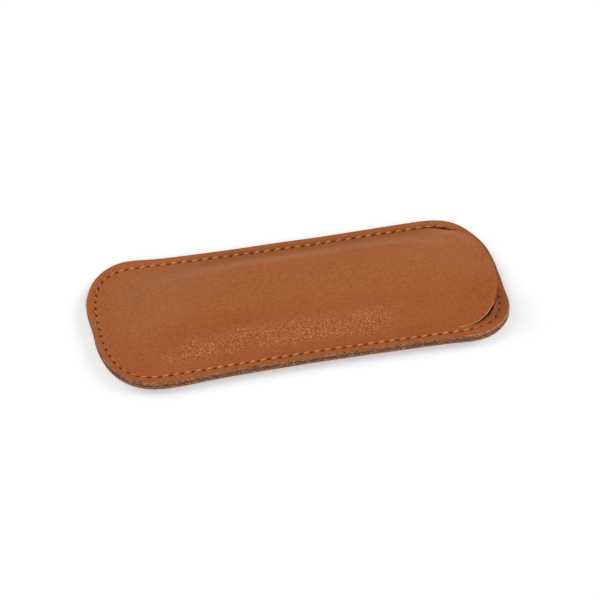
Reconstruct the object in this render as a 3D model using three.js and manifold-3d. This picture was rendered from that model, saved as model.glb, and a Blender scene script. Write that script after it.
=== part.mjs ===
// A slip case for short pens: a back panel and a moulded front panel of leather, sewn together all round.
// A U-shaped slit just inside the seam frees a tongue at one end of the front panel, and that is the mouth.
// Millimetres. X runs along the case to its mouth, Y across it, and Z up from the surface that it lies on.
import * as THREE from 'three';
import { mergeGeometries, mergeVertices } from 'three/addons/utils/BufferGeometryUtils.js';
import Module from 'manifold-3d';

// The outline that both panels share
const LENGTH = 135;
const WIDTH = 61.6;
const END_REACH = 21.3; // how far each rounded end reaches along X
const MOUTH_FULLNESS = 3.05; // exponent of the rounded end at the mouth: 2 is an ellipse, and more is squarer
const HEEL_FULLNESS = 2.72; // the same for the closed end
const WAIST = 0.8; // how far each long side is drawn in at its middle

// Where the cut runs outside or inside that outline: a place on it as shares of half the length and half the width,
// how far outwards, and the distance over which that fades
const HAND_CUT = [
  { along: -0.755, across: 1, out: 1.15, fade: 8 },
  { along: -0.99, across: 0.4, out: 0.4, fade: 5 },
  { along: -1, across: -0.02, out: -0.3, fade: 5 },
  { along: 0, across: 0.97, out: 0.28, fade: 10 },
  { along: -0.71, across: -1, out: 0.85, fade: 12 },
  { along: 0.77, across: -1, out: 0.65, fade: 7 },
  { along: 0.965, across: -0.67, out: 0.3, fade: 5 },
  { along: 1, across: -0.32, out: -0.35, fade: 5 },
  { along: 1, across: 0.12, out: 0.25, fade: 4.5 },
  { along: 0.985, across: 0.36, out: 0.4, fade: 5.5 },
  { along: 0.955, across: 0.75, out: -0.4, fade: 6 },
];

// The leather's thickness
const FRONT_LEATHER = 1.3;
const BACK_LEATHER = 1.4;

// The lockstitch seam
const SEAM_INSET = 2.55; // from the outline to the middle of the seam, along the near side
const FAR_DRIFT = 0.8; // how much further in the seam runs at the middle of the far side
const MOUTH_DRIFT = 0.6; // the same round the mouth
const HEEL_DRIFT = -0.45; // and round the closed end
const STITCH_PITCH = 3.5;
const THREAD = 0.5;
const THREAD_PLAY = 0.15; // room between a thread and the leather round it
const LOCK_GAP = 0.3; // between the two threads where they meet inside the leather

// The pocket that the front panel is moulded to
const POCKET_RISE = 7; // from the border up to the crown
const SHOULDER_SLOPE = 14; // from the pocket's foot in to its crown
const HEEL_SLOPE = 30; // from the closed end's foot to the full rise

// The mouth
const SLIT_INSET = 4.2; // from the outline to the middle of the slit, which is the pocket's foot too
const SLIT_GAP = 0.4;
const SLIT_CORNER = { along: 0.89, across: -0.89, inward: 0.8, fade: 8.5 }; // a wider turn at the near corner
const TONGUE_LENGTH = 17.3; // from the line where the tongue bends to its lip
const MOUTH_RISE = 6.8; // from the border up to the top of the arched lip
const MOUTH_LEAN = 6.8; // how far the arch's top lies off the middle, towards the near side, -Y
const MOUTH_BLEND = 24; // length over which the crown turns into the arch, with the bend line in the middle

// Counts that set how finely the curves are stepped
const END_STEPS = 28; // an even number
const SIDE_STEPS = 8;
const POCKET_RINGS = [0.06, 0.14, 0.24, 0.36, 0.5, 0.78]; // from the pocket's foot, 0, to its middle line, 1

// Sizes that follow
const halfLength = LENGTH / 2;
const halfWidth = WIDTH / 2;
const sideEnd = halfLength - END_REACH;
const caseThickness = BACK_LEATHER + FRONT_LEATHER;
const footLength = halfLength - SLIT_INSET;
const footWidth = halfWidth - SLIT_INSET;
const bendLine = footLength - TONGUE_LENGTH;
const threadRadius = THREAD / 2;
const holeWidth = THREAD + 2 * THREAD_PLAY;
const holeLength = 2 * THREAD + 2 * THREAD_PLAY; // the thread goes in and comes out again
const grooveDepth = THREAD + 2 * THREAD_PLAY;
const grooveWidth = THREAD + 4 * THREAD_PLAY; // wider than the holes, so that each opens in the groove's floor
const seamLimit = SLIT_INSET - SLIT_GAP / 2 - holeWidth / 2 - THREAD_PLAY; // leaves leather between holes and slit

const wasm = await Module();
wasm.setup();

// Solids

function toSolid(geometry) {
  const bare = geometry.clone();
  bare.deleteAttribute('normal');
  bare.deleteAttribute('uv');
  const merged = mergeVertices(bare);
  const vertProperties = Float32Array.from(merged.attributes.position.array);
  const triVerts = Uint32Array.from(merged.index.array);
  return new wasm.Manifold(new wasm.Mesh({ numProp: 3, vertProperties, triVerts }));
}

function toGeometry(solid) {
  const { vertProperties, triVerts } = solid.getMesh();
  const geometry = new THREE.BufferGeometry();
  geometry.setAttribute('position', new THREE.BufferAttribute(vertProperties, 3));
  geometry.setIndex(new THREE.BufferAttribute(triVerts, 1));
  return geometry;
}

function prism(points, low, high, holes = []) {
  const shape = new THREE.Shape(points);
  shape.holes = holes.map((hole) => new THREE.Path(hole));
  const geometry = new THREE.ExtrudeGeometry(shape, { depth: high - low, bevelEnabled: false });
  return toSolid(geometry.translate(0, 0, low));
}

// Outlines, all anticlockwise

function ease(share) {
  const t = THREE.MathUtils.clamp(share, 0, 1);
  return t * t * (3 - 2 * t);
}

function drawInWaist(point) {
  const share = Math.min(Math.abs(point.x) / (halfLength - END_REACH / 2), 1);
  point.y -= (point.y / halfWidth) * WAIST * (1 + Math.cos(Math.PI * share)) / 2;
  return point;
}

function endPoint(angle, fullness) {
  const power = 2 / fullness;
  const reach = END_REACH * Math.cos(angle) ** power;
  const side = Math.sign(angle) * halfWidth * Math.abs(Math.sin(angle)) ** power;
  return new THREE.Vector2(sideEnd + reach, side);
}

// One end and the side that follows it.
function outlineHalf(fullness) {
  const half = [];
  for (let i = 0; i <= END_STEPS; i += 1) {
    half.push(endPoint(Math.PI * (i / END_STEPS - 0.5), fullness));
  }
  for (let i = 1; i < SIDE_STEPS; i += 1) {
    half.push(new THREE.Vector2(sideEnd * (1 - 2 * i / SIDE_STEPS), halfWidth));
  }
  return half.map(drawInWaist);
}

// The mouth end and the far side, and then the closed end and the near side, which are turned half round.
function outline() {
  return [...outlineHalf(MOUTH_FULLNESS), ...outlineHalf(HEEL_FULLNESS).map((point) => point.negate())];
}

// The unit vector across a closed run of points at one of them, to the inside.
function inward(points, i) {
  const along = points[(i + 1) % points.length].clone().sub(points.at(i - 1)).normalize();
  return new THREE.Vector2(-along.y, along.x);
}

// A closed run of points moved inwards, each by its own distance.
function inset(points, distanceAt) {
  return points.map((point, i) => point.clone().addScaledVector(inward(points, i), distanceAt(point)));
}

// How strongly a place on the outline, given as shares of half the length and half the width, acts at a point.
function nearness(point, { along, across, fade }) {
  const distance = Math.hypot(point.x - along * halfLength, point.y - across * halfWidth);
  return Math.exp(-((distance / fade) ** 2));
}

// How far the cut runs outside the drawn outline at a point of it.
function cutOutside(point) {
  return HAND_CUT.reduce((total, place) => total + place.out * nearness(point, place), 0);
}

// From the drawn outline to the middle of the slit.
function slitInset(point) {
  return SLIT_INSET + SLIT_CORNER.inward * nearness(point, SLIT_CORNER);
}

// From the drawn outline to the middle of the seam.
function seamInset(point) {
  const far = ease(0.5 + 0.75 * point.y / halfWidth) * (1 + 0.4 * point.x / halfLength);
  const end = ease((Math.abs(point.x) - sideEnd) / (0.75 * END_REACH));
  const drift = FAR_DRIFT * far + end * (point.x > 0 ? MOUTH_DRIFT : HEEL_DRIFT);
  return Math.min(SEAM_INSET + drift, seamLimit);
}

const drawnOutline = outline();
const caseOutline = inset(drawnOutline, (point) => -cutOutside(point));
const pocketFoot = inset(drawnOutline, slitInset);

// The tongue's plan: what lies past the bend line, inside the slit, with that much to spare from the slit's middle.
function tonguePlan(spare) {
  const edge = inset(drawnOutline, (point) => slitInset(point) + spare);
  const start = bendLine + spare;
  const past = [];
  edge.forEach((point, i) => {
    const next = edge[(i + 1) % edge.length];
    if (point.x >= start) {
      past.push(point);
    }
    if ((point.x - start) * (next.x - start) < 0) {
      past.push(point.clone().lerp(next, (start - point.x) / (next.x - point.x)));
    }
  });
  return past;
}

// Moulded leather

// How far the lip of the mouth stands above the border.
function mouthArch(y) {
  const fromTop = y + MOUTH_LEAN;
  const reach = fromTop < 0 ? footWidth - MOUTH_LEAN : footWidth + MOUTH_LEAN;
  return MOUTH_RISE * Math.max(1 - (fromTop / reach) ** 2, 0);
}

// How far the front panel stands above its border. The foot share is 0 at the pocket's foot and 1 on its middle line.
function crownRise(x, y, footShare) {
  const crown = POCKET_RISE * ease(footShare * footWidth / SHOULDER_SLOPE) * ease((x + footLength) / HEEL_SLOPE);
  return THREE.MathUtils.lerp(crown, mouthArch(y), ease((x - bendLine) / MOUTH_BLEND + 0.5));
}

// Rings of the moulded part, each the pocket's foot drawn in towards the middle line.
function pocketRing(footShare) {
  return pocketFoot.map((point) => {
    const x = point.x * (1 - footShare * footWidth / footLength);
    const y = point.y * (1 - footShare);
    return new THREE.Vector3(x, y, crownRise(x, y, footShare));
  });
}

function flatRing(points) {
  return points.map((point) => new THREE.Vector3(point.x, point.y, 0));
}

// Triangles of one face of a sheet: bands between its rings, and strips across the innermost ring.
function sheetFaces(ringCount, size) {
  const faces = [];
  for (let ring = 0; ring + 1 < ringCount; ring += 1) {
    for (let i = 0; i < size; i += 1) {
      const [a, b] = [ring * size + i, ring * size + (i + 1) % size];
      faces.push([a, b, b + size], [a, b + size, a + size]);
    }
  }
  const last = (ringCount - 1) * size;
  const mirrored = (i) => (END_STEPS - i + size) % size;
  for (let i = END_STEPS / 2; i < (END_STEPS + size) / 2; i += 1) {
    const [a, b, c, d] = [mirrored(i), i, i + 1, mirrored(i + 1)].map((k) => last + k);
    faces.push([a, b, c], [a, c, d]);
  }
  return faces.filter(([a, b, c]) => a !== b && b !== c);
}

// A sheet of leather from its rings, outermost first, with the border's face at the case's thickness.
function leatherSheet(rings) {
  const size = rings[0].length;
  const count = rings.length * size;
  const positions = [];
  for (const base of [caseThickness, BACK_LEATHER]) {
    rings.flat().forEach((point) => positions.push(point.x, point.y, base + point.z));
  }
  const top = sheetFaces(rings.length, size);
  const underside = top.map(([a, b, c]) => [a + count, c + count, b + count]);
  const edge = [];
  for (let i = 0; i < size; i += 1) {
    const next = (i + 1) % size;
    edge.push([i + count, next + count, next], [i + count, next, i]);
  }
  const geometry = new THREE.BufferGeometry();
  geometry.setAttribute('position', new THREE.Float32BufferAttribute(positions, 3));
  geometry.setIndex([...top, ...underside, ...edge].flat());
  return toSolid(geometry);
}

// The seam

function seamHoles() {
  const line = inset(drawnOutline, seamInset);
  const path = new THREE.Path([...line, line[0]]);
  const count = Math.round(path.getLength() / STITCH_PITCH);
  return path.getSpacedPoints(count).slice(0, count);
}

const holes = seamHoles();

// The awl's holes, through both panels.
function awlCuts() {
  const boxes = holes.map((hole, i) => {
    const across = inward(holes, i);
    const box = new THREE.BoxGeometry(holeLength, holeWidth, 4 * caseThickness);
    return box.rotateZ(Math.atan2(-across.x, across.y)).translate(hole.x, hole.y, 0);
  });
  return toSolid(mergeGeometries(boxes));
}

// The groove that keeps the thread off the surface that the case lies on.
function grooveCut() {
  const [outer, inner] = [-1, 1].map((side) => inset(holes, () => side * grooveWidth / 2));
  return prism(outer, -grooveDepth, grooveDepth, [inner]);
}

// A thread's middle line: along each stitch at one height, and to another height inside each hole.
function threadRun(stitchHeight, holeHeight) {
  const bend = holeLength / 2 - 0.8 * threadRadius; // where the thread turns into the hole
  const points = [];
  holes.forEach((hole, i) => {
    const across = inward(holes, i);
    const along = new THREE.Vector3(across.y, -across.x, 0);
    const middle = new THREE.Vector3(hole.x, hole.y, stitchHeight);
    points.push(middle.clone().addScaledVector(along, -bend));
    points.push(middle.clone().setZ(holeHeight));
    points.push(middle.clone().addScaledVector(along, bend));
  });
  return points;
}

// A four-sided tube along a closed run of points.
function closedTube(points, radius) {
  const positions = [];
  const index = [];
  const sides = 4;
  points.forEach((point, i) => {
    const along = points[(i + 1) % points.length].clone().sub(points.at(i - 1)).normalize();
    const across = new THREE.Vector3(-along.y, along.x, 0).normalize();
    const over = along.clone().cross(across);
    for (const offset of [across, over, across.clone().negate(), over.clone().negate()]) {
      positions.push(...point.clone().addScaledVector(offset, radius));
    }
    const next = (i + 1) % points.length;
    for (let side = 0; side < sides; side += 1) {
      const turn = (side + 1) % sides;
      const [a, b] = [i * sides + side, i * sides + turn];
      const [c, d] = [next * sides + turn, next * sides + side];
      index.push(a, b, c, a, c, d);
    }
  });
  const geometry = new THREE.BufferGeometry();
  geometry.setAttribute('position', new THREE.Float32BufferAttribute(positions, 3));
  geometry.setIndex(index);
  return geometry;
}

// Pieces

function leather(color) {
  return new THREE.MeshStandardMaterial({ color, roughness: 0.6, metalness: 0 });
}

function waxedThread(color) {
  return new THREE.MeshStandardMaterial({ color, roughness: 0.75, metalness: 0 });
}

function piece(name, geometry, material) {
  const mesh = new THREE.Mesh(geometry, material);
  mesh.name = name;
  return mesh;
}

function backPanel() {
  const panel = prism(caseOutline, 0, BACK_LEATHER).subtract(grooveCut()).subtract(awlCuts());
  return piece('back_panel', toGeometry(panel), leather(0x965628));
}

function frontPanel() {
  const sheet = leatherSheet([flatRing(caseOutline), flatRing(pocketFoot), ...POCKET_RINGS.map(pocketRing)]);
  const mouth = prism(tonguePlan(-SLIT_GAP / 2), 0, caseThickness + 2 * (POCKET_RISE + MOUTH_RISE));
  return piece('front_panel', toGeometry(sheet.subtract(mouth).subtract(awlCuts())), leather(0x9f5a31));
}

function mouthTongue() {
  const sheet = leatherSheet([0, ...POCKET_RINGS].map(pocketRing));
  const kept = prism(tonguePlan(SLIT_GAP / 2), 0, caseThickness + 2 * (POCKET_RISE + MOUTH_RISE));
  return piece('mouth_tongue', toGeometry(sheet.intersect(kept)), leather(0x9f5a31));
}

function needleThread() {
  const onLeather = caseThickness + THREAD_PLAY + threadRadius;
  const atLock = (caseThickness + LOCK_GAP) / 2 + threadRadius;
  return piece('needle_thread', closedTube(threadRun(onLeather, atLock), threadRadius), waxedThread(0xc88c55));
}

function bobbinThread() {
  const inGroove = THREAD_PLAY + threadRadius;
  const atLock = (caseThickness - LOCK_GAP) / 2 - threadRadius;
  return piece('bobbin_thread', closedTube(threadRun(inGroove, atLock), threadRadius), waxedThread(0xc88c55));
}

const penCase = new THREE.Group();
penCase.add(backPanel(), frontPanel(), mouthTongue(), needleThread(), bobbinThread());

export default penCase;
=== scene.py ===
"""Looks of a leather slip case for short pens: moulded front, back panel, raw edges and lockstitch seam."""

from math import cos, pi, radians, sin

import bpy
import numpy as np
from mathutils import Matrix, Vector, noise


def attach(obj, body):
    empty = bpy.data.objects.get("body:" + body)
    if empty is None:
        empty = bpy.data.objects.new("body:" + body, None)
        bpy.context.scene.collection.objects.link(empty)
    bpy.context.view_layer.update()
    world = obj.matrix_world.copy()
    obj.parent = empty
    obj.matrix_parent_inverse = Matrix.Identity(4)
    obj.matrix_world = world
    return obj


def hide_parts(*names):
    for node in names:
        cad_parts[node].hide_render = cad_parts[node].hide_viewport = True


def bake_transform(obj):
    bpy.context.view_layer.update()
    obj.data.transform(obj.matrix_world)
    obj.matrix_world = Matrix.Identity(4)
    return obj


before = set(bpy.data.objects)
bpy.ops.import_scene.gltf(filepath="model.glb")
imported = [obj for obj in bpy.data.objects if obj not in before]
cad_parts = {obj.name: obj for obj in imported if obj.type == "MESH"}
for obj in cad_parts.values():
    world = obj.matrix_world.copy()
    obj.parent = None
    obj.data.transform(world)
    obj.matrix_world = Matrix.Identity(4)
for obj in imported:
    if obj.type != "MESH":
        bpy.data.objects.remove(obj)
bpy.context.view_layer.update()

# Sizes in millimetres, as in the CAD source. Meshes are made in metres.
MM = 0.001

# Panels
LENGTH = 135.0
WIDTH = 61.6
END_REACH = 21.3
MOUTH_FULLNESS = 3.05
HEEL_FULLNESS = 2.72
WAIST = 0.8
# Where the cut runs outside or inside the drawn outline. Each row holds a place, as shares of half the
# length and half the width, how far outwards the cut runs there, and the distance over which that fades.
HAND_CUT = ((-0.755, 1, 1.15, 8), (-0.99, 0.4, 0.4, 5), (-1, -0.02, -0.3, 5), (0, 0.97, 0.28, 10),
            (-0.71, -1, 0.85, 12), (0.77, -1, 0.65, 7), (0.965, -0.67, 0.3, 5), (1, -0.32, -0.35, 5),
            (1, 0.12, 0.25, 4.5), (0.985, 0.36, 0.4, 5.5), (0.955, 0.75, -0.4, 6))
FRONT_LEATHER = 1.3
BACK_LEATHER = 1.4
CASE_THICKNESS = FRONT_LEATHER + BACK_LEATHER

# Seam, and how much further in it runs along the far side, round the mouth and round the heel. FAR_TURN is
# how quickly that comes in across the case, FAR_LEAN how much it grows towards the mouth, and END_DRIFT_SHARE
# the share of an end's reach over which it comes in there.
SEAM_INSET = 2.55
FAR_DRIFT = 0.8
FAR_TURN = 0.75
FAR_LEAN = 0.4
MOUTH_DRIFT = 0.6
HEEL_DRIFT = -0.45
END_DRIFT_SHARE = 0.75
SEAM_LIMIT = 3.45
STITCH_PITCH = 3.5
STITCH_SLANT = radians(14)
STITCH_LOOSENESS = radians(4)

# Slit that frees the tongue. Its near corner runs further in, given as in HAND_CUT.
SLIT_INSET = 4.2
SLIT_KERF = 0.1
SLIT_CORNER = (0.89, -0.89, 0.8, 8.5)
TONGUE_LENGTH = 17.3
# The border reaches further in below the tongue's near corner
UNDER_TONGUE_REACH = 0.65
UNDER_TONGUE_MIDDLE = -17.0
UNDER_TONGUE_FADE = 6.0

# Moulded pocket
FOOT_LENGTH = LENGTH / 2 - SLIT_INSET
FOOT_WIDTH = WIDTH / 2 - SLIT_INSET
BEND_LINE = FOOT_LENGTH - TONGUE_LENGTH
POCKET_RISE = 7.0
SHOULDER_SLOPE = 14.0
HEEL_SLOPE = 30.0
MOUTH_RISE = 6.8
MOUTH_LEAN = 6.8
MOUTH_BLEND = 24.0
# The heel is rounder: where that starts and is complete along the case, how much longer the shoulder's slope
# is there, and how far from the foot it is full
HEEL_RANGE = (-12.0, -38.0)
HEEL_DOME = 4.0
HEEL_FOOT = 5.0
# The tongue's far corner lies lower and is pared thin, its near corner gapes, and its end is stretched.
# PARED_PLACE is along the case and in from the foot, and NEAR_CORNER_PLACE along and across.
FAR_CORNER_DROP = 1.0
FAR_CORNER_FADE = 2.6
PARED_DEPTH = 0.75
PARED_PLACE = (59.5, 0.0)
PARED_FADES = (5.0, 2.6)
NEAR_CORNER_LIFT = 1.2
NEAR_CORNER_PLACE = (60.0, -16.0)
NEAR_CORNER_FADES = (9.0, 8.0)
LIP_STRETCH = 0.8
LIP_RANGE = (53.0, 61.0)
LIP_MIDDLE = -3.0
LIP_FADE = 15.0
# Unevenness of the moulded leather: waves, with the share of the way in from the foot over which they
# come in, and the puckers in its creases
WAVE_FOOT_SHARE = 0.25
LONG_WAVE_RISE = 0.22
LONG_WAVE_LENGTH = 24.0
SHORT_WAVE_RISE = 0.07
SHORT_WAVE_LENGTH = 7.0
PUCKER_RISE = 0.05
PUCKER_LENGTH = 1.5
# Creases on the near slope: ranges up the slope, where they come in at the foot, are fullest and end at the
# top, and ranges along the case, where they come in at the heel, grow faint and end at the mouth
CREASE_FOOT = (-0.2, 1.0)
CREASE_FULL = (1.5, 4.5)
CREASE_TOP = (12.0, 8.0)
CREASE_HEEL = (-58.0, -44.0)
CREASE_FAINT = (36.0, 18.0)
CREASE_MOUTH = (60.0, 50.0)
# How strong the creases are close to the foot and towards the mouth, and the sizes of their patches
CREASE_FOOT_SHARE = 0.3
CREASE_MOUTH_SHARE = 0.15
CREASE_PATCH = 9.0
CREASE_SMALL_PATCH = 3.2
# The mean of the patches, how far large and small ones change it, and the least of the sum
CREASE_MEAN = 0.72
CREASE_SWING = 0.7
CREASE_SMALL_SWING = 0.35
CREASE_LEAST = 0.2

# Stitch holes, which are longer along the far side and shallower round the mouth
HOLE_HALF_LENGTH = 0.64
FAR_HOLE_EXTRA = 0.16
FAR_HOLE_RANGE = (10.0, 20.0)
HOLE_HALF_WIDTH = 0.33
HOLE_SQUARENESS = 1.5
HOLE_DEPTH = 0.75
MOUTH_HOLE_LOSS = 0.4
MOUTH_HOLE_RANGE = (46.0, 56.0)
# The channel that the thread is pulled into, and the leather raised beside it
CHANNEL_DEPTH = 0.16
CHANNEL_HALF_WIDTH = 0.7
RIDGE_RISE = 0.04
RIDGE_AWAY = 1.1
RIDGE_HALF_WIDTH = 0.5
# Marks under the back panel are deeper, because its thread is sunk clear of the table
BACK_MARK_FACTOR = 1.7
BACK_MARK_LIMIT = 1.2

# Cut edges: their rounding, and the droop of the grain towards them
EDGE_ROUND = 0.15
RIM_DROOP = 0.07
RIM_REACH = 0.9
# Fuzz of a cut edge: its height, how fast it comes and goes from the grain face down, and the lengths of its
# fibres and clumps, with the rows of each in the thickness and the clumps' share
EDGE_FUZZ = 0.13
FUZZ_PACE = 1.3
FIBRE_LENGTH = 0.45
FIBRE_ROWS = 9
CLUMP_LENGTH = 1.9
CLUMP_ROWS = 3
CLUMP_SHARE = 0.8
# The profile of a cut edge in steps from the grain face to the flesh face. Each step holds how far outwards
# it lies, as a share of the rounding, and how far down, as a share of the thickness.
EDGE_PROFILE = ((0.5, 0.02), (0.87, 0.06), (1.0, 0.13), (1.0, 0.3), (1.0, 0.48), (1.0, 0.66), (1.0, 0.82),
                (0.85, 0.93), (0.45, 0.985))
SHARP_ANGLE = radians(55)

# Painted shade on the slit's cut edges: how dark at the lip's end, on the far side and at the near corner
LIP_TONE = 0.5
FAR_TONE = 0.9
NEAR_TONE = 1.0
SLIT_NEAR_RANGE = (-17.0, -22.0)
SLIT_FAR_RANGE = (14.0, 19.0)
# Painted shade on rims: the lip at the tongue's far corner, and the outer rim that faces SHADED_RIM_WAY,
# which is darker towards the mouth
LIP_SHADE_STRENGTH = 0.6
LIP_SHADE_PLACE = 55.6
LIP_SHADE_FADE = 4.0
SHADED_RIM_WAY = (0.45, 0.9)
SHADED_RIM_SPREAD = 1.6
SHADED_RIM_RANGE = (15.0, 50.0)

# Thread and stitches
THREAD = 0.52
PLY_LENGTH = 1.5
PLY_LOBE = 0.16
THREAD_FLATNESS = 1.08
STITCH_RINGS = 13
STITCH_SIDES = 10
STITCH_END_GAP = 0.35
STITCH_END_TAPER = 0.25
STITCH_DIVE = 1.2
STITCH_DIVE_RANGE = (0.36, 1.0)
NEEDLE_HEIGHT = CASE_THICKNESS - 0.01
BOBBIN_HEIGHT = 0.3

# Mesh of the sheets. SEAM_RINGS are distances from the seam's middle line. The border's other rings are
# shares of the band outside those and of the band inside them, which has a least width. The rings of the
# pocket and of the back run from the foot to the middle line.
COLUMNS_PER_STITCH = 12
SEAM_RINGS = (-0.65, -0.45, -0.28, -0.13, 0.0, 0.13, 0.28, 0.45)
OUTER_SHARES = (0.0, 0.2, 0.45, 0.72)
INNER_SHARES = (0.25, 0.6)
INNER_LEAST = 0.06
POCKET_RING_COUNT = 38
BACK_SHARES = (0.0, 0.15, 0.35, 0.6, 0.85)

# Camera fitted to the photograph
CAMERA_ELEVATION = radians(38.86)
CAMERA_AZIMUTH = radians(-13.31)
CAMERA_DISTANCE = 800.0
CAMERA_TARGET = (1.39, 1.98, 0.0)
CAMERA_LENS = 147.27
CAMERA_SENSOR = 36.0
CAMERA_CLIP = 10.0


def ease(share):
    """Rises smoothly from 0 to 1."""
    t = np.clip(share, 0, 1)
    return t * t * (3 - 2 * t)


def swell(share, length=1.3):
    """Rises from 0 to 1 over that length, at first about as ease does, and then more gently to its top."""
    t = np.clip(share / length, 0, 1)
    return t * t * (6 - 8 * t + 3 * t * t)


def ramp(value, start, end):
    """Rises smoothly from 0 where the value is start to 1 where it is end."""
    return ease((value - start) / (end - start))


def bell(distance, fade):
    """1 at no distance, and less on both sides."""
    return np.exp(-(distance / fade) ** 2)


def patch(x, y, place, fades):
    """1 at a place, and less all round it, with a fade each way."""
    return np.exp(-((x - place[0]) / fades[0]) ** 2 - ((y - place[1]) / fades[1]) ** 2)


# Outline

def outline_quarter(fullness, steps=900):
    """From the middle of an end to the middle of a long side."""
    angle = np.linspace(0, pi / 2, steps)
    power = 2 / fullness
    end_x = LENGTH / 2 - END_REACH * (1 - np.cos(angle) ** power)
    end_y = WIDTH / 2 * np.sin(angle) ** power
    side_x = np.linspace(end_x[-1], 0, steps)[1:]
    side_y = np.full(steps - 1, WIDTH / 2)
    return np.c_[np.r_[end_x, side_x], np.r_[end_y, side_y]]


def panel_outline():
    """The cut outline of both panels as a closed run of points, anticlockwise from the mouth's middle."""
    heel = outline_quarter(HEEL_FULLNESS) * (-1, 1)
    far = np.vstack([outline_quarter(MOUTH_FULLNESS), heel[-2::-1]])
    loop = np.vstack([far, far[-2:0:-1] * (1, -1)])
    share = np.clip(np.abs(loop[:, 0]) / (LENGTH / 2 - END_REACH / 2), 0, 1)
    loop[:, 1] *= 1 - WAIST / (WIDTH / 2) * (1 + np.cos(pi * share)) / 2
    return loop


def inward_normals(loop):
    along = np.roll(loop, -1, 0) - np.roll(loop, 1, 0)
    along /= np.linalg.norm(along, axis=1)[:, None]
    return np.c_[-along[:, 1], along[:, 0]]


def nearness(points, along, across, fade):
    """How strongly a place, given as shares of half the length and half the width, acts at points."""
    return bell(np.hypot(points[:, 0] - along * LENGTH / 2, points[:, 1] - across * WIDTH / 2), fade)


def cut_outside(points):
    """How far the cut runs outside the drawn outline at points of it."""
    return sum(out * nearness(points, along, across, fade) for along, across, out, fade in HAND_CUT)


def slit_inset(points):
    """From the drawn outline to the middle of the slit, which is the pocket's foot too."""
    along, across, inward, fade = SLIT_CORNER
    return SLIT_INSET + inward * nearness(points, along, across, fade)


def seam_inset(points):
    """From the drawn outline to the middle of the seam, at points of the outline."""
    x, y = points.T
    far = ease(0.5 + FAR_TURN * y / (WIDTH / 2)) * (1 + FAR_LEAN * x / (LENGTH / 2))
    end = ease((np.abs(x) - LENGTH / 2 + END_REACH) / (END_DRIFT_SHARE * END_REACH))
    drift = FAR_DRIFT * far + end * np.where(x > 0, MOUTH_DRIFT, HEEL_DRIFT)
    return np.minimum(SEAM_INSET + drift, SEAM_LIMIT)


def seam_columns():
    """Outline points and inward normals, evenly spaced along the seam, the stitch count and the pitch."""
    loop = panel_outline()
    inward = inward_normals(loop)
    seam = loop + seam_inset(loop)[:, None] * inward
    steps = np.linalg.norm(np.roll(seam, -1, 0) - seam, axis=1)
    arc = np.r_[0, np.cumsum(steps)]
    stitches = round(arc[-1] / STITCH_PITCH)
    wanted = np.linspace(0, arc[-1], stitches * COLUMNS_PER_STITCH, endpoint=False)

    def spread(values):
        closed = np.vstack([values, values[:1]])
        return np.c_[np.interp(wanted, arc, closed[:, 0]), np.interp(wanted, arc, closed[:, 1])]

    normals = spread(inward)
    return spread(loop), normals / np.linalg.norm(normals, axis=1)[:, None], stitches, arc[-1] / stitches


EDGE, INWARD, STITCHES, PITCH = seam_columns()
COLUMNS = len(EDGE)
CUT = cut_outside(EDGE)
SEAM = seam_inset(EDGE)
SLIT = slit_inset(EDGE)
FOOT = EDGE + SLIT[:, None] * INWARD
# The slit runs round the mouth from this column, on the far side, to its mirror image on the near side.
SLIT_COLUMN = int(np.argmax(FOOT[:, 0] < BEND_LINE)) - 1


# Shape of the moulded front

def ripple(points, size, seed):
    """Smooth noise from -1 to 1 with waves of that size. The seed picks a place and a layer of the noise."""
    layer = 0.37 * seed
    spots = [Vector((x / size + seed, y / size - seed, layer)) for x, y in points]
    return np.array([noise.noise(spot) for spot in spots])


def crown_rise(points, foot_share):
    """Height of the front above its border. The share is 0 at the pocket's foot and 1 at its middle."""
    x, y = points.T
    from_foot = foot_share * FOOT_WIDTH
    from_side = FOOT_WIDTH - np.abs(y)
    heel = ramp(x, *HEEL_RANGE)
    shoulder = swell((from_foot + (from_side - from_foot) * heel) / (SHOULDER_SLOPE + HEEL_DOME * heel))
    crown = POCKET_RISE * shoulder * swell((x + FOOT_LENGTH) / HEEL_SLOPE)
    crown *= 1 - heel * (1 - ramp(from_foot, 0, HEEL_FOOT))
    from_top = y + MOUTH_LEAN
    reach = np.where(from_top < 0, FOOT_WIDTH - MOUTH_LEAN, FOOT_WIDTH + MOUTH_LEAN)
    arch = MOUTH_RISE * np.maximum(1 - (from_top / reach) ** 2, 0)
    arch *= 1 - FAR_CORNER_DROP * (y > 0) * bell(FOOT_WIDTH - y, FAR_CORNER_FADE)
    arch += NEAR_CORNER_LIFT * patch(x, y, NEAR_CORNER_PLACE, NEAR_CORNER_FADES)
    mouth = ease((x - BEND_LINE) / MOUTH_BLEND + 0.5)
    return crown + (arch - crown) * mouth


def stitch_marks(columns, across):
    """Depth of the seam's channel and holes below the face, and how deep in a hole each point is."""
    x, y = EDGE[columns].T
    along = (columns / COLUMNS_PER_STITCH - np.round(columns / COLUMNS_PER_STITCH)) * PITCH
    turned = along * cos(STITCH_SLANT) + across * sin(STITCH_SLANT)
    off = across * cos(STITCH_SLANT) - along * sin(STITCH_SLANT)
    half_length = HOLE_HALF_LENGTH + FAR_HOLE_EXTRA * ramp(y, *FAR_HOLE_RANGE)
    hole = np.exp(-((turned / half_length) ** 2 + (off / HOLE_HALF_WIDTH) ** 2) ** HOLE_SQUARENESS)
    channel = CHANNEL_DEPTH * bell(across, CHANNEL_HALF_WIDTH)
    channel -= RIDGE_RISE * bell(np.abs(across) - RIDGE_AWAY, RIDGE_HALF_WIDTH)
    deep = HOLE_DEPTH - MOUTH_HOLE_LOSS * ramp(x, *MOUTH_HOLE_RANGE)
    return channel + deep * hole, hole


def slit_edge_inset(columns):
    """From the drawn outline to the border's face beside the slit."""
    return SLIT[columns] - SLIT_KERF - EDGE_ROUND


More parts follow.
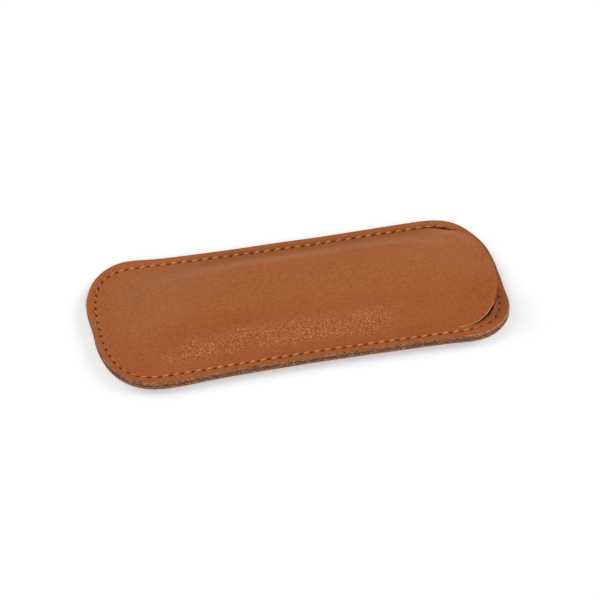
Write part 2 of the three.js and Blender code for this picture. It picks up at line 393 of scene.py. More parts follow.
def ring_insets(columns):
    """Insets of the border's rings at those columns, outermost first."""
    seam = SEAM[columns]
    first = EDGE_ROUND - CUT[columns]
    last = seam + SEAM_RINGS[-1]
    beside = np.maximum(slit_edge_inset(columns) - last, INNER_LEAST)
    outer = [first + share * (seam + SEAM_RINGS[0] - first) for share in OUTER_SHARES]
    inner = [last + share * beside for share in INNER_SHARES]
    return outer + [seam + across for across in SEAM_RINGS] + inner


def border_rings(columns):
    """The border's rings at those columns, outermost first: points, depths of marks and shares of holes."""
    for inset in ring_insets(columns):
        plan = EDGE[columns] + inset[:, None] * INWARD[columns]
        marks, hole = stitch_marks(columns, inset - SEAM[columns])
        droop = RIM_DROOP * np.maximum(1 - (inset + CUT[columns]) / RIM_REACH, 0) ** 2
        yield np.c_[plan, np.full(len(plan), CASE_THICKNESS)], marks + droop, hole


# Leather sheets

class Sheet:
    """An open sheet of leather while it is laid out: points, faces, and the marks at each point."""

    MARKS = ("depth", "hole", "crease", "slit", "rim")

    def __init__(self):
        self.points = []
        self.out = []
        self.faces = []
        self.marks = {name: [] for name in self.MARKS}
        self.count = 0

    def add(self, points, out=None, **marks):
        """Adds a run of points and returns their numbers. Out is the way to the outside at a cut edge."""
        size = len(points)
        self.points.append(points)
        self.out.append(np.zeros((size, 3)) if out is None else out)
        for name, runs in self.marks.items():
            runs.append(marks.get(name, np.zeros(size)))
        self.count += size
        return np.arange(self.count - size, self.count)

    def bands(self, rings, closed):
        """Quads between rings of one length, from the outermost inwards."""
        for outer, inner in zip(rings, rings[1:]):
            last = len(outer) if closed else len(outer) - 1
            for i in range(last):
                j = (i + 1) % len(outer)
                self.faces.append((outer[i], outer[j], inner[j], inner[i]))

    def halve(self, ring, inner):
        """Five-sided faces between a closed ring and the next one in, which has half as many points."""
        for m in range(len(inner)):
            i = 2 * m
            n = (m + 1) % len(inner)
            self.faces.append((ring[i], ring[i + 1], ring[(i + 2) % len(ring)], inner[n], inner[m]))

    def close(self, ring):
        """Quads across the innermost ring, from side to side, with a triangle at each end."""
        size = len(ring)
        for m in range(size // 2):
            corners = [ring[k % size] for k in (size - m, m, m + 1, size - m - 1)]
            self.faces.append(tuple(dict.fromkeys(corners)))

    def turn_over(self):
        self.faces = [face[::-1] for face in self.faces]


def face_normals_at_points(points, faces):
    """Area-weighted normals at the points of a sheet."""
    normals = np.zeros_like(points)
    for size in {len(f) for f in faces}:
        group = np.array([f for f in faces if len(f) == size])
        corners = points[group]
        middle = corners.mean(1)
        total = np.zeros_like(middle)
        for i in range(size):
            total += np.cross(corners[:, i] - middle, corners[:, (i + 1) % size] - middle)
        for i in range(size):
            np.add.at(normals, group[:, i], total)
    return normals / np.linalg.norm(normals, axis=1)[:, None]


def boundary_loop(faces):
    """The sheet's one boundary, as point numbers in the order that its faces turn."""
    edges = {(f[i], f[(i + 1) % len(f)]) for f in faces for i in range(len(f))}
    following = {a: b for a, b in edges if (b, a) not in edges}
    start = min(following)
    loop = [start]
    while following[loop[-1]] != start:
        loop.append(following[loop[-1]])
    return np.array(loop)


def edge_fuzz(arc, down, seed):
    """Fibres and clumps that stand out along one row of a cut edge."""
    fibres = [noise.noise(Vector((a / FIBRE_LENGTH, down * FIBRE_ROWS + seed, seed))) for a in arc]
    clumps = [noise.noise(Vector((a / CLUMP_LENGTH, down * CLUMP_ROWS - seed, seed))) for a in arc]
    fullness = sin(pi * min(down * FUZZ_PACE, 1))
    return EDGE_FUZZ * (np.array(fibres) + CLUMP_SHARE * np.array(clumps)) * fullness


def put_value(mesh, name, values):
    attribute = mesh.attributes.new(name, "FLOAT", "POINT")
    attribute.data.foreach_set("value", np.asarray(values, np.float32))


def leather_mesh(name, points, grain_faces, flesh_faces, edge_faces, finishes):
    """A smooth mesh with the finishes of its grain, its raw edge and its flesh, given in that order."""
    mesh = bpy.data.meshes.new(name)
    faces = [tuple(map(int, face)) for face in grain_faces + flesh_faces + edge_faces]
    mesh.from_pydata((points * MM).tolist(), [], faces)
    for finish in finishes:
        mesh.materials.append(finish)
    kinds = np.r_[np.zeros(len(grain_faces)), np.full(len(flesh_faces), 2), np.ones(len(edge_faces))]
    mesh.polygons.foreach_set("material_index", kinds.astype(np.int32))
    mesh.polygons.foreach_set("use_smooth", np.ones(len(kinds), bool))
    mesh.set_sharp_from_angle(angle=SHARP_ANGLE)
    return mesh


def leather_piece(name, sheet, thickness, finishes, seed):
    """A closed piece from a sheet: its grain face, the flesh face behind it and the raw edge between."""
    base = np.concatenate(sheet.points)
    out = np.concatenate(sheet.out)
    marks = {mark: np.concatenate(runs) for mark, runs in sheet.marks.items()}
    depth = marks["depth"]
    normals = face_normals_at_points(base, sheet.faces)
    loop = boundary_loop(sheet.faces)
    count = len(base)
    size = len(loop)
    arc = np.r_[0, np.cumsum(np.linalg.norm(np.diff(base[loop], axis=0), axis=1))]
    grain = base - normals * depth[:, None]
    flesh = base - normals * thickness
    rows = [loop]
    wall = []
    for step, (reach, down) in enumerate(EDGE_PROFILE):
        push = EDGE_ROUND * reach + edge_fuzz(arc, down, seed)
        sunk = depth[loop] + (thickness - depth[loop]) * down
        wall.append(base[loop] - normals[loop] * sunk[:, None] + out[loop] * push[:, None])
        rows.append(2 * count + step * size + np.arange(size))
    rows.append(loop + count)
    flesh_faces = [tuple(i + count for i in reversed(face)) for face in sheet.faces]
    edge_faces = []
    for upper, lower in zip(rows, rows[1:]):
        for i in range(size):
            j = (i + 1) % size
            edge_faces.append((upper[j], upper[i], lower[i], lower[j]))
    points = np.vstack([grain, flesh, *wall])
    mesh = leather_mesh(name, points, sheet.faces, flesh_faces, edge_faces, finishes)
    for mark in ("hole", "crease"):
        put_value(mesh, mark, np.r_[marks[mark], np.zeros(len(points) - count)])
    for mark in ("slit", "rim"):
        edge_marks = np.tile(marks[mark][loop], len(EDGE_PROFILE))
        put_value(mesh, mark, np.r_[marks[mark], np.zeros(count), edge_marks])
    edge_along = np.zeros(len(points))
    edge_down = np.zeros(len(points))
    downs = [0, *(down for _, down in EDGE_PROFILE), 1]
    for row, down in zip(rows, downs):
        edge_along[row] = arc * MM
        edge_down[row] = down * thickness * MM
    put_value(mesh, "edge_along", edge_along)
    put_value(mesh, "edge_down", edge_down)
    mesh.validate()
    piece = bpy.data.objects.new(name, mesh)
    bpy.context.scene.collection.objects.link(piece)
    return piece


def outwards(columns):
    return np.c_[-INWARD[columns], np.zeros(len(columns))]


def slit_shade(columns):
    """How dark the slit's cut edges are painted, as shade in the gap."""
    y = FOOT[columns][:, 1]
    near = (NEAR_TONE - LIP_TONE) * ramp(y, *SLIT_NEAR_RANGE)
    far = (FAR_TONE - LIP_TONE) * ramp(y, *SLIT_FAR_RANGE)
    return LIP_TONE + np.maximum(near, far)


def far_lip_shade(columns):
    """Painted shade on the lip of the tongue: at its far corner."""
    x, y = FOOT[columns].T
    return LIP_SHADE_STRENGTH * (y > 0) * bell(x - LIP_SHADE_PLACE, LIP_SHADE_FADE)


def rim_shade(columns):
    """Painted shade along the rim of the grain: half along the far side, and fully round the mouth."""
    facing = ease(-INWARD[columns] @ SHADED_RIM_WAY * SHADED_RIM_SPREAD)
    return facing * (0.5 + 0.5 * ramp(EDGE[columns, 0], *SHADED_RIM_RANGE))


def near_slope_crease(points, foot_share):
    """Where the leather is creased: patches on the near slope of the pocket."""
    x, y = points.T
    up_slope = foot_share * FOOT_WIDTH
    strength = CREASE_FOOT_SHARE + (1 - CREASE_FOOT_SHARE) * ramp(up_slope, *CREASE_FULL)
    slope = strength * ramp(up_slope, *CREASE_FOOT) * ramp(up_slope, *CREASE_TOP) * (y < 0)
    towards_mouth = CREASE_MOUTH_SHARE + (1 - CREASE_MOUTH_SHARE) * ramp(x, *CREASE_FAINT)
    length = ramp(x, *CREASE_HEEL) * towards_mouth * ramp(x, *CREASE_MOUTH)
    large = CREASE_SWING * ripple(points, CREASE_PATCH, 4.2)
    small = CREASE_SMALL_SWING * ripple(points, CREASE_SMALL_PATCH, 1.9)
    return slope * length * np.clip(CREASE_MEAN + large + small, CREASE_LEAST, 1)


def pared_corner(points, foot_share):
    """How much thinner the tongue is pared at its far corner."""
    x, y = points.T
    return PARED_DEPTH * (y > 0) * patch(x, foot_share * FOOT_WIDTH, PARED_PLACE, PARED_FADES)


def drawn_in(columns, foot_share):
    """The pocket's foot in plan, drawn in towards the middle line."""
    return FOOT[columns] * (1 - foot_share * FOOT_WIDTH / FOOT_LENGTH, 1 - foot_share)


def pocket_ring(columns, foot_share):
    """One ring of the moulded part: points, how thin they are pared, and creases."""
    plan = drawn_in(columns, foot_share)
    plan[:, 0] += LIP_STRETCH * ramp(plan[:, 0], *LIP_RANGE) * bell(plan[:, 1] - LIP_MIDDLE, LIP_FADE)
    rise = crown_rise(plan, foot_share)
    waves = LONG_WAVE_RISE * ripple(plan, LONG_WAVE_LENGTH, 1.3)
    waves += SHORT_WAVE_RISE * ripple(plan, SHORT_WAVE_LENGTH, 2.9)
    sway = ramp(foot_share, 0, WAVE_FOOT_SHARE) * waves
    crease = near_slope_crease(plan, foot_share)
    pucker = PUCKER_RISE * crease * ripple(plan, PUCKER_LENGTH, 6.1)
    return np.c_[plan, CASE_THICKNESS + rise + sway + pucker], pared_corner(plan, foot_share), crease


def lay_front_border(sheet, columns):
    """Adds the rings of the front's border at those columns and returns their point numbers."""
    rings = []
    for points, depth, hole in border_rings(columns):
        cut = {} if rings else {"out": outwards(columns), "rim": rim_shade(columns)}
        rings.append(sheet.add(points, depth=depth, hole=hole, **cut))
    return rings


def front_sheet():
    """The front panel with its tongue: the border up to the slit's ends, and the whole moulded part."""
    sheet = Sheet()
    every = np.arange(COLUMNS)
    kept = np.arange(SLIT_COLUMN, COLUMNS - SLIT_COLUMN + 1)
    in_slit = np.ones(COLUMNS, bool)
    in_slit[kept] = False
    rings = lay_front_border(sheet, kept)
    points, pared, crease = pocket_ring(every, 0.0)
    points[kept, 2] = CASE_THICKNESS
    pared[kept] = 0
    foot = sheet.add(points, outwards(every) * in_slit[:, None], depth=pared, crease=crease,
                     slit=in_slit * slit_shade(every), rim=in_slit * far_lip_shade(every))
    sheet.bands([*rings, foot[kept]], closed=False)
    inner = []
    for share in np.linspace(0, 1, POCKET_RING_COUNT + 1)[1:-1]:
        points, pared, crease = pocket_ring(every[::2], share)
        inner.append(sheet.add(points, depth=pared, crease=crease))
    sheet.halve(foot, inner[0])
    sheet.bands(inner, closed=True)
    sheet.close(inner[-1])
    return sheet


def mouth_border_sheet():
    """The border outside the slit, round the mouth."""
    sheet = Sheet()
    kept = np.arange(-SLIT_COLUMN, SLIT_COLUMN + 1)
    rings = lay_front_border(sheet, kept)
    under_tongue = UNDER_TONGUE_REACH * bell(FOOT[kept, 1] - UNDER_TONGUE_MIDDLE, UNDER_TONGUE_FADE)
    plan = EDGE[kept] + (slit_edge_inset(kept) + under_tongue)[:, None] * INWARD[kept]
    inner_out = -outwards(kept)
    inner_out[[0, -1]] = 0
    flat = np.c_[plan, np.full(len(kept), CASE_THICKNESS)]
    rings.append(sheet.add(flat, inner_out, slit=slit_shade(kept)))
    sheet.bands(rings, closed=False)
    return sheet


def back_sheet():
    """The back panel, laid out flat and then turned over, so that its grain faces down."""
    sheet = Sheet()
    every = np.arange(COLUMNS)
    rings = []
    for points, depth, hole in border_rings(every):
        points[:, 2] = 0
        out = None if rings else outwards(every)
        sunk = np.clip(BACK_MARK_FACTOR * depth, 0, BACK_MARK_LIMIT)
        rings.append(sheet.add(points, out, depth=sunk, hole=hole))
    sheet.bands(rings, closed=True)
    inner = []
    for share in BACK_SHARES:
        plan = drawn_in(every[::2], share)
        inner.append(sheet.add(np.c_[plan, np.zeros(len(plan))]))
    sheet.halve(rings[-1], inner[0])
    sheet.bands(inner, closed=True)
    sheet.close(inner[-1])
    sheet.turn_over()
    return sheet


# Nodes

def feed(tree, socket, value):
    """Links a socket to another one, or sets its value."""
    if isinstance(value, bpy.types.NodeSocket):
        tree.links.new(value, socket)
    else:
        socket.default_value = value


def add_node(tree, kind, settings=None, **inputs):
    """A new node with those settings, and with its inputs fed."""
    made = tree.nodes.new(kind)
    for key, value in (settings or {}).items():
        setattr(made, key, value)
    for key, value in inputs.items():
        feed(tree, made.inputs[key.replace("_", " ")], value)
    return made


# Stitches

def stitch_shape():
    """One stitch of two-ply thread along X: it lies on the leather and dives into a hole at each end."""
    points = []
    faces = []
    for i in range(STITCH_RINGS):
        share = 2 * i / (STITCH_RINGS - 1) - 1
        x = share * (PITCH / 2 - STITCH_END_GAP)
        dive = -STITCH_DIVE * ramp(abs(share), *STITCH_DIVE_RANGE)
        thick = THREAD / 2 * (1 - STITCH_END_TAPER * share ** 4)
        for k in range(STITCH_SIDES):
            angle = 2 * pi * k / STITCH_SIDES
            lobe = 1 - PLY_LOBE + PLY_LOBE * cos(2 * (angle - x * 2 * pi / PLY_LENGTH))
            y = thick * THREAD_FLATNESS * lobe * cos(angle)
            points.append((x, y, dive + thick * lobe * sin(angle)))
    for i in range(STITCH_RINGS - 1):
        here = i * STITCH_SIDES
        after = here + STITCH_SIDES
        for k in range(STITCH_SIDES):
            n = (k + 1) % STITCH_SIDES
            faces.append((here + k, here + n, after + n, after + k))
    faces.append(tuple(reversed(range(STITCH_SIDES))))
    faces.append(tuple(range((STITCH_RINGS - 1) * STITCH_SIDES, STITCH_RINGS * STITCH_SIDES)))
    mesh = bpy.data.meshes.new("stitch")
    mesh.from_pydata((np.array(points) * MM).tolist(), [], faces)
    mesh.polygons.foreach_set("use_smooth", np.ones(len(faces), bool))
    return bpy.data.objects.new("stitch", mesh)


def stitch_tree():
    """Geometry Nodes that set stitches at even steps along a closed path, each turned a little by chance."""
    tree = bpy.data.node_groups.new("sew_along_path", "GeometryNodeTree")
    face = tree.interface
    face.new_socket("Path", in_out="INPUT", socket_type="NodeSocketGeometry")
    for name, kind in (("Stitch", "Object"), ("Count", "Int"), ("Slant", "Float"), ("Roll", "Float"),
                       ("Looseness", "Float"), ("Seed", "Int"), ("Thread", "Material")):
        face.new_socket(name, in_out="INPUT", socket_type="NodeSocket" + kind)
    face.new_socket("Seam", in_out="OUTPUT", socket_type="NodeSocketGeometry")
    given = tree.nodes.new("NodeGroupInput").outputs

    def put(kind, settings=None, **inputs):
        return add_node(tree, kind, settings, **inputs)

    curve = put("GeometryNodeMeshToCurve", Mesh=given["Path"])
    spots = put("GeometryNodeCurveToPoints", {"mode": "COUNT"}, Curve=curve.outputs[0],
                Count=given["Count"])
    along = put("FunctionNodeAlignRotationToVector", {"axis": "X", "pivot_axis": "Z"},
                Vector=spots.outputs["Tangent"])
    stray = put("FunctionNodeRandomValue", {"data_type": "FLOAT"}, Seed=given["Seed"])
    low, high = [s for s in stray.inputs if s.type == "VALUE"][:2]
    low.default_value = -1.0
    high.default_value = 1.0
    stray_value = next(s for s in stray.outputs if s.type == "VALUE")
    loose = put("ShaderNodeMath", {"operation": "MULTIPLY_ADD"})
    for socket, value in zip(loose.inputs, (stray_value, given["Looseness"], given["Slant"])):
        feed(tree, socket, value)
    euler = put("ShaderNodeCombineXYZ", X=given["Roll"], Z=loose.outputs[0])
    lean = put("FunctionNodeEulerToRotation", Euler=euler.outputs[0])
    turned = put("FunctionNodeRotateRotation", {"rotation_space": "LOCAL"}, Rotation=along.outputs[0],
                 Rotate_By=lean.outputs[0])
    shape = put("GeometryNodeObjectInfo", Object=given["Stitch"])
    sewn = put("GeometryNodeInstanceOnPoints", Points=spots.outputs["Points"],
               Instance=shape.outputs["Geometry"], Rotation=turned.outputs[0])
    real = put("GeometryNodeRealizeInstances", Geometry=sewn.outputs[0])
    finished = put("GeometryNodeSetMaterial", Geometry=real.outputs[0], Material=given["Thread"])
    feed(tree, tree.nodes.new("NodeGroupOutput").inputs[0], finished.outputs[0])
    return tree


def sew(name, tree, stitch, height, roll, seed, thread):
    """A run of stitches all round at one height, as a mesh of its own."""
    middles = np.arange(COLUMNS) + COLUMNS_PER_STITCH // 2
    seam = (EDGE + SEAM[:, None] * INWARD)[middles % COLUMNS]
    path = bpy.data.meshes.new(name + "_path")
    corners = np.c_[seam, np.full(COLUMNS, height)] * MM
    path.from_pydata(corners.tolist(), [(i, (i + 1) % COLUMNS) for i in range(COLUMNS)], [])
    carrier = bpy.data.objects.new(name + "_path", path)
    bpy.context.scene.collection.objects.link(carrier)
    modifier = carrier.modifiers.new("sew", "NODES")
    modifier.node_group = tree
    values = {"Stitch": stitch, "Count": STITCHES, "Slant": STITCH_SLANT, "Roll": roll,
              "Looseness": STITCH_LOOSENESS, "Seed": seed, "Thread": thread}
    for item in tree.interface.items_tree:
        if item.in_out == "INPUT" and item.name in values:
            modifier[item.identifier] = values[item.name]
    carrier.update_tag()
    ready = carrier.evaluated_get(bpy.context.evaluated_depsgraph_get())
    mesh = bpy.data.meshes.new_from_object(ready)
    mesh.name = name
    bpy.data.objects.remove(carrier)
    seam_piece = bpy.data.objects.new(name, mesh)
    bpy.context.scene.collection.objects.link(seam_piece)
    return seam_piece


# Materials

# Grain: its three tans, with painted shade on the near side, at the heel and at the pocket's far foot,
# in creases, on rims and in stitch holes, and painted glints on the creases
TAN = (0.293, 0.081, 0.018)
TAN_DEEP = (0.268, 0.0715, 0.015)
TAN_PALE = (0.352, 0.108, 0.029)
NEAR_SHADE_TAN = (0.31, 0.05, 0.01)
FOOT_SHADE_TAN = (0.2, 0.055, 0.018)
CREASE_SHADE = (0.2, 0.041, 0.008)
CREASE_PAINTED_GLINT = (0.64, 0.3, 0.155)
RIM_SHADE_BROWN = (0.085, 0.025, 0.008)
HOLE_SHADE_BROWN = (0.048, 0.0135, 0.004)
HOLE_SHADE_LIGHT = (0.135, 0.045, 0.016)
# Raw edge, with a painted highlight at its lip and painted shade in the slit and on rims
FIBRE_DARK = (0.036, 0.0125, 0.0055)
FIBRE_BROWN = (0.285, 0.1, 0.039)
FIBRE_PALE = (0.6, 0.335, 0.175)
FIBRE_CLUMP = (0.2, 0.073, 0.03)
LIP_HIGHLIGHT = (0.66, 0.36, 0.19)
SLIT_SHADE_BROWN = (0.2, 0.055, 0.014)
SLIT_SHADE_DARK = (0.035, 0.012, 0.005)
LAYER_SHADE = (0.05, 0.018, 0.008)
# Flesh side
NAP_DARK = (0.115, 0.037, 0.014)
NAP_PALE = (0.21, 0.076, 0.03)
NAP_CLOUD = (0.14, 0.047, 0.018)
# Thread, with painted shade round the mouth and at the heel
THREAD_DEEP = (0.45, 0.178, 0.053)
THREAD_PALE = (0.72, 0.34, 0.125)
THREAD_WORN = (0.4, 0.15, 0.045)
THREAD_SHADE = (0.235, 0.068, 0.016)


class Nodes:
    """Short words for laying out a material's nodes."""

    def __init__(self, name):
        self.material = bpy.data.materials.new(name)
        self.material.use_nodes = True
        self.tree = self.material.node_tree
        self.shader = self.tree.nodes["Principled BSDF"]

    def node(self, kind, settings=None, **inputs):
        return add_node(self.tree, kind, settings, **inputs)

    def place(self):
        return self.node("ShaderNodeTexCoord").outputs["Object"]

    def axes(self, place):
        """Places along, across and up, in metres."""
        return self.node("ShaderNodeSeparateXYZ", Vector=place).outputs[:]

    def value(self, name):
        return self.node("ShaderNodeAttribute", {"attribute_name": name}).outputs["Fac"]

    def noise(self, vector, size, detail=3.0, roughness=0.55, distortion=0.0):
        """Noise with features of that size, in millimetres."""
        return self.node("ShaderNodeTexNoise", Vector=vector, Scale=1 / (size * MM), Detail=detail,
                         Roughness=roughness, Distortion=distortion).outputs["Fac"]

    def noise_place(self, vector, reach):
        """The same places, each moved a little by noise, so that cells get uneven outlines."""
        stir = self.node("ShaderNodeTexNoise", Vector=vector, Scale=1 / (2 * MM), Detail=2.0)
        moved = self.node("ShaderNodeVectorMath", {"operation": "MULTIPLY_ADD"})
        for socket, value in zip(moved.inputs, (stir.outputs["Color"], (reach * MM,) * 3, vector)):
            feed(self.tree, socket, value)
        return moved.outputs[0]

    def cells(self, vector, size):
        """Distances from the middles of cells of that size, in millimetres."""
        return self.node("ShaderNodeTexVoronoi", Vector=vector, Scale=1 / (size * MM)).outputs["Distance"]

    def span(self, value, start, end, to_start=0.0, to_end=1.0):
        """Goes smoothly from one number to another while the value goes from start to end."""
        made = self.node("ShaderNodeMapRange", {"interpolation_type": "SMOOTHSTEP"}, Value=value,
                         From_Min=start, From_Max=end, To_Min=to_start, To_Max=to_end)
        return made.outputs["Result"]

    def span_mm(self, length, start, end, to_start=0.0, to_end=1.0):
        """The same for a length in metres, with its start and end in millimetres."""
        return self.span(length, start * MM, end * MM, to_start, to_end)

    def math(self, operation, a, b):
        made = self.node("ShaderNodeMath", {"operation": operation})
        feed(self.tree, made.inputs[0], a)
        feed(self.tree, made.inputs[1], b)
        return made.outputs[0]

    def times(self, product, *factors):
        for factor in factors:
            product = self.math("MULTIPLY", product, factor)
        return product

    def mouth_and_heel(self, along, across):
        """Where the seam's painted shade differs: fully at the mouth, later on its far side, less at the
        heel.
        """
        on_far_side = self.span_mm(across, 15, 24, 0.0, 4 * MM)
        mouth = self.span_mm(self.math("SUBTRACT", along, on_far_side), 46, 56)
        return self.math("ADD", mouth, self.span_mm(along, -52, -60, 0.0, 0.65))

    def mix(self, share, a, b):
        made = self.node("ShaderNodeMix", {"data_type": "RGBA"}, Factor=share)
        for name, colour in (("A", a), ("B", b)):
            socket = next(s for s in made.inputs if s.name == name and s.type == "RGBA")
            feed(self.tree, socket, colour if isinstance(colour, bpy.types.NodeSocket) else (*colour, 1))
        return next(s for s in made.outputs if s.type == "RGBA")

    def bump(self, height, distance, strength, below=None):
        """A bump of that distance, in millimetres, over another one."""
        made = self.node("ShaderNodeBump", Height=height, Strength=strength, Distance=distance * MM)
        if below is not None:
            feed(self.tree, made.inputs["Normal"], below)
        return made.outputs["Normal"]

    def finish(self, **inputs):
        for key, value in inputs.items():
            feed(self.tree, self.shader.inputs[key.replace("_", " ")], value)
        return self.material


def grain_leather():
    """The tan leather's smooth face: fine grain, soft clouds of colour, creases, painted glints and shade."""
    n = Nodes("tan_grain")
    place = n.place()
    along, across, up = n.axes(place)
    crease = n.value("crease")
    clouds = n.span(n.noise(place, 16, 2), 0.3, 0.72)
    grain = n.span(n.noise(place, 1.0, 3, 0.7), 0.32, 0.68)
    pebbles = n.cells(n.noise_place(place, 0.25), 0.7)
    flecks = n.noise(n.noise_place(place, 0.3), 0.42, 3, 0.6, 0.4)
    near_side = n.span_mm(across, -4, -17, 0.0, 0.2)
    heel = n.span_mm(along, -44, -60, 0.0, 0.12)
    far_length = n.times(n.span_mm(along, -58, -10), n.span_mm(along, 58, 40), n.span_mm(up, 1.6, 2.4))
    far_foot = n.times(n.span_mm(across, 12, 22.5), n.span_mm(across, 29.5, 27.5), far_length)
    far_shoulder = n.times(n.span_mm(across, 7.5, 11.5), n.span_mm(across, 16.5, 13),
                           n.span_mm(along, -42, -16), far_length)
    colour = n.mix(clouds, TAN_DEEP, TAN)
    colour = n.mix(n.times(grain, 0.85), colour, TAN_PALE)
    # Painted shade: darker and redder on the near side and at the heel
    colour = n.mix(n.math("ADD", near_side, heel), colour, NEAR_SHADE_TAN)
    # Painted shade at the pocket's far foot
    colour = n.mix(n.times(far_foot, 0.32), colour, FOOT_SHADE_TAN)
    # Painted shade in the creases' hollows, and painted glints on their ridges
    colour = n.mix(n.times(crease, n.span(flecks, 0.5, 0.38), 0.6), colour, CREASE_SHADE)
    colour = n.mix(n.times(crease, n.span(flecks, 0.5, 0.63), 0.6), colour, CREASE_PAINTED_GLINT)
    # Painted shade along the rims and on the tongue's far lip
    colour = n.mix(n.times(n.value("rim"), 0.75), colour, RIM_SHADE_BROWN)
    # Painted shade in the stitch holes, lighter round the mouth and at the heel
    hole_shade = n.mix(n.mouth_and_heel(along, across), HOLE_SHADE_BROWN, HOLE_SHADE_LIGHT)
    colour = n.mix(n.span(n.value("hole"), 0.15, 0.6), colour, hole_shade)
    # The far foot is dull, and the shoulder above it is polished
    roughness = n.span(grain, 0.0, 1.0, 0.7, 0.58)
    roughness = n.math("ADD", roughness, n.times(far_foot, 0.36))
    roughness = n.math("SUBTRACT", roughness, n.times(far_shoulder, 0.23))
    normal = n.bump(pebbles, 0.03, 0.5)
    normal = n.bump(grain, 0.025, 0.5, normal)
    normal = n.bump(n.times(flecks, crease), 0.12, 0.8, normal)
    return n.finish(Base_Color=colour, Roughness=roughness, Normal=normal, Specular_IOR_Level=0.15)


def raw_edge():
    """The cut edge: a felt of brown fibres, dark where the layers meet, with a painted highlight at the lip
    of the grain and painted shade in the slit and on rims.
    """
    n = Nodes("raw_edge")
    along_case = n.axes(n.place())[0]
    down = n.value("edge_down")
    slit = n.value("slit")
    felt = n.node("ShaderNodeCombineXYZ", X=n.value("edge_along"), Y=n.times(down, 1.7)).outputs[0]
    clumps = n.noise(felt, 2.6, 3, 0.6, 0.4)
    fibres = n.noise(felt, 0.7, 4, 0.75, 0.9)
    broken = n.span(n.noise(felt, 1.6, 2), 0.42, 0.58)
    # Painted highlight along the lip of the grain, and at the slit's near corner
    lip = n.times(n.span_mm(down, 0.08, 0.3, 1.0, 0.0), broken, n.span(slit, 0.0, LIP_TONE, 0.95, 0.0),
                  n.span_mm(along_case, 44, 54, 0.1, 1.0))
    near_corner = n.span(slit, FAR_TONE + 0.01, NEAR_TONE, 0.0, 0.9)
    corner_highlight = n.times(near_corner, n.span_mm(down, 0.12, 0.4, 1.0, 0.0))
    # The dark line between the layers strays up and down with the clumps
    stray = n.times(n.math("SUBTRACT", clumps, 0.5), 1.2 * MM)
    layer_line = n.span_mm(n.math("ADD", down, stray), 0.98, 1.32)
    colour = n.mix(n.span(fibres, 0.38, 0.54), FIBRE_DARK, FIBRE_BROWN)
    colour = n.mix(n.span(fibres, 0.54, 0.63), colour, FIBRE_PALE)
    colour = n.mix(n.times(n.span(clumps, 0.42, 0.62), 0.35), colour, FIBRE_CLUMP)
    # Painted shade in the slit, darkest on the far side and at the near corner
    colour = n.mix(n.span(slit, 0.0, LIP_TONE, 0.0, 0.9), colour, SLIT_SHADE_BROWN)
    colour = n.mix(n.span(slit, LIP_TONE, FAR_TONE, 0.0, 0.85), colour, SLIT_SHADE_DARK)
    colour = n.mix(n.math("ADD", lip, corner_highlight), colour, LIP_HIGHLIGHT)
    # Painted shade along the rims
    colour = n.mix(n.times(n.value("rim"), 0.8), colour, RIM_SHADE_BROWN)
    colour = n.mix(n.times(layer_line, 0.8), colour, LAYER_SHADE)
    normal = n.bump(fibres, 0.3, 1.0)
    return n.finish(Base_Color=colour, Roughness=0.8, Normal=normal, Specular_IOR_Level=0.25)


def flesh_side():
    """The fuzzy inner face of the leather."""
    n = Nodes("flesh_side")
    place = n.place()
    nap = n.noise(place, 0.6, 4, 0.7, 0.5)
    clouds = n.span(n.noise(place, 9, 2), 0.35, 0.7)
    colour = n.mix(n.span(nap, 0.3, 0.7), NAP_DARK, NAP_PALE)
    colour = n.mix(n.times(clouds, 0.4), colour, NAP_CLOUD)
    normal = n.bump(nap, 0.1, 0.7)
    return n.finish(Base_Color=colour, Roughness=0.9, Normal=normal, Specular_IOR_Level=0.1)


def sewing_thread():
    """Waxed tan thread: fine fibres, worn in places, with painted shade round the mouth and at the heel."""
    n = Nodes("sewing_thread")
    place = n.place()
    along, across, _ = n.axes(place)
    fuzz = n.noise(place, 0.12, 3, 0.6)
    wear = n.span(n.noise(place, 5, 2), 0.35, 0.65)
    colour = n.mix(n.span(fuzz, 0.3, 0.7), THREAD_DEEP, THREAD_PALE)
    colour = n.mix(n.times(wear, 0.35), colour, THREAD_WORN)
    # Painted shade on the thread round the mouth and at the heel
    colour = n.mix(n.times(n.mouth_and_heel(along, across), 0.75), colour, THREAD_SHADE)
    normal = n.bump(fuzz, 0.05, 0.5)
    return n.finish(Base_Color=colour, Roughness=0.65, Normal=normal, Specular_IOR_Level=0.2)


# Stage

# Lamps: name, azimuth from +X, height above the floor and width, all three in degrees, and strength
SOFT_BOXES = (("front_box", 256, 34, 46, 2.55),
              ("right_box", 22, 19, 36, 2.0),
              ("left_box", 122, 27, 40, 1.5))
# Strength of the surround in front of the case and behind it, and where it changes, as the Y of a direction
SURROUND_FRONT = 0.2
SURROUND_BACK = 0.42
SURROUND_RANGE = (-0.3, 0.9)
FLOOR_WHITE = 0.92
# Half the floor's side, in metres
FLOOR_REACH = 3.0


def make_camera():
    camera = bpy.data.objects.new("camera", bpy.data.cameras.new("camera"))
    bpy.context.scene.collection.objects.link(camera)
    level = cos(CAMERA_ELEVATION)
    back = Vector((sin(CAMERA_AZIMUTH) * level, -cos(CAMERA_AZIMUTH) * level, sin(CAMERA_ELEVATION)))
    camera.location = (Vector(CAMERA_TARGET) + back * CAMERA_DISTANCE) * MM
    camera.rotation_euler = (-back).to_track_quat("-Z", "Y").to_euler()
    camera.data.lens = CAMERA_LENS
    camera.data.sensor_width = CAMERA_SENSOR
    camera.data.clip_start = CAMERA_CLIP * MM
    bpy.context.scene.camera = camera


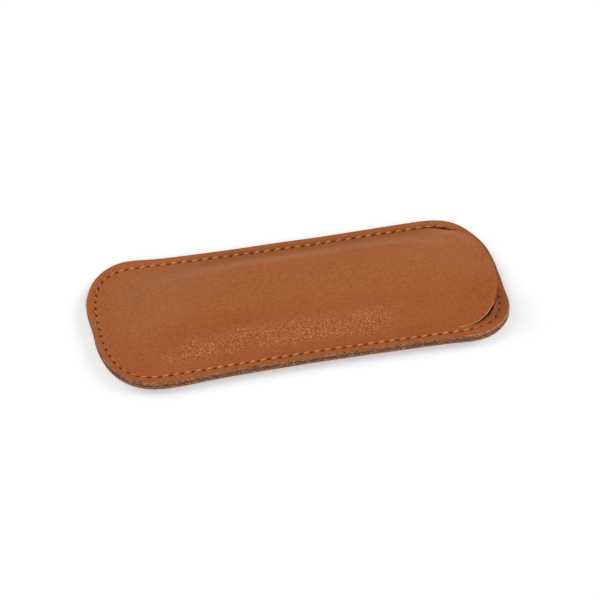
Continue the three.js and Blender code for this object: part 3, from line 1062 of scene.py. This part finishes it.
def soft_sun(name, azimuth, elevation, spread, strength):
    """A far lamp as wide as a soft box."""
    lamp = bpy.data.lights.new(name, "SUN")
    lamp.angle = radians(spread)
    lamp.energy = strength
    a = radians(azimuth)
    e = radians(elevation)
    towards = Vector((cos(a) * cos(e), sin(a) * cos(e), sin(e)))
    holder = bpy.data.objects.new(name, lamp)
    holder.location = towards
    holder.rotation_euler = (-towards).to_track_quat("-Z", "Y").to_euler()
    bpy.context.scene.collection.objects.link(holder)


def white_floor():
    """A matt white floor that takes the case's shadow."""
    white = (FLOOR_WHITE, FLOOR_WHITE, FLOOR_WHITE, 1)
    finish = Nodes("white_floor").finish(Base_Color=white, Roughness=0.9, Specular_IOR_Level=0.0)
    mesh = bpy.data.meshes.new("floor")
    far = FLOOR_REACH
    mesh.from_pydata([(-far, -far, 0), (far, -far, 0), (far, far, 0), (-far, far, 0)], [], [(0, 1, 2, 3)])
    mesh.materials.append(finish)
    floor = bpy.data.objects.new("floor", mesh)
    bpy.context.scene.collection.objects.link(floor)


def white_world():
    """A white surround, brighter behind the case, which the camera sees as plain white."""
    world = bpy.data.worlds.new("surround")
    world.use_nodes = True
    bpy.context.scene.world = world
    tree = world.node_tree
    shown = tree.nodes["Background"]
    is_camera = add_node(tree, "ShaderNodeLightPath").outputs["Is Camera Ray"]
    way = add_node(tree, "ShaderNodeTexCoord").outputs["Generated"]
    backwards = add_node(tree, "ShaderNodeSeparateXYZ", Vector=way).outputs["Y"]
    start, end = SURROUND_RANGE
    level = add_node(tree, "ShaderNodeMapRange", Value=backwards, From_Min=start, From_Max=end,
                     To_Min=SURROUND_FRONT, To_Max=SURROUND_BACK)
    seen = add_node(tree, "ShaderNodeMix", Factor=is_camera, A=level.outputs["Result"], B=1.0)
    feed(tree, shown.inputs["Strength"], seen.outputs["Result"])
    shown.inputs["Color"].default_value = (1, 1, 1, 1)


def set_stage():
    bpy.context.scene.view_settings.view_transform = "Standard"
    make_camera()
    white_world()
    white_floor()
    for box in SOFT_BOXES:
        soft_sun(*box)


def dress_leather():
    """The front with its tongue, the border round the mouth and the back, each with a seed for its fuzz."""
    finishes = [grain_leather(), raw_edge(), flesh_side()]
    front = leather_piece("front_leather", front_sheet(), FRONT_LEATHER, finishes, 1.7)
    border = leather_piece("mouth_border", mouth_border_sheet(), FRONT_LEATHER, finishes, 2.6)
    back = leather_piece("back_leather", back_sheet(), BACK_LEATHER, finishes, 5.3)
    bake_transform(front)
    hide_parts("front_panel", "mouth_tongue")
    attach(border, "pouch")
    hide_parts("front_panel")
    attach(back, "pouch")
    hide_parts("back_panel")


def dress_seam():
    """The upper and the lower row of stitches, the lower one upside down."""
    tree = stitch_tree()
    stitch = stitch_shape()
    thread = sewing_thread()
    needle = sew("needle_stitches", tree, stitch, NEEDLE_HEIGHT, 0.0, 3, thread)
    bobbin = sew("bobbin_stitches", tree, stitch, BOBBIN_HEIGHT, pi, 8, thread)
    for seam, node in ((needle, "needle_thread"), (bobbin, "bobbin_thread")):
        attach(seam, "pouch")
        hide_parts(node)


set_stage()
dress_leather()
dress_seam()
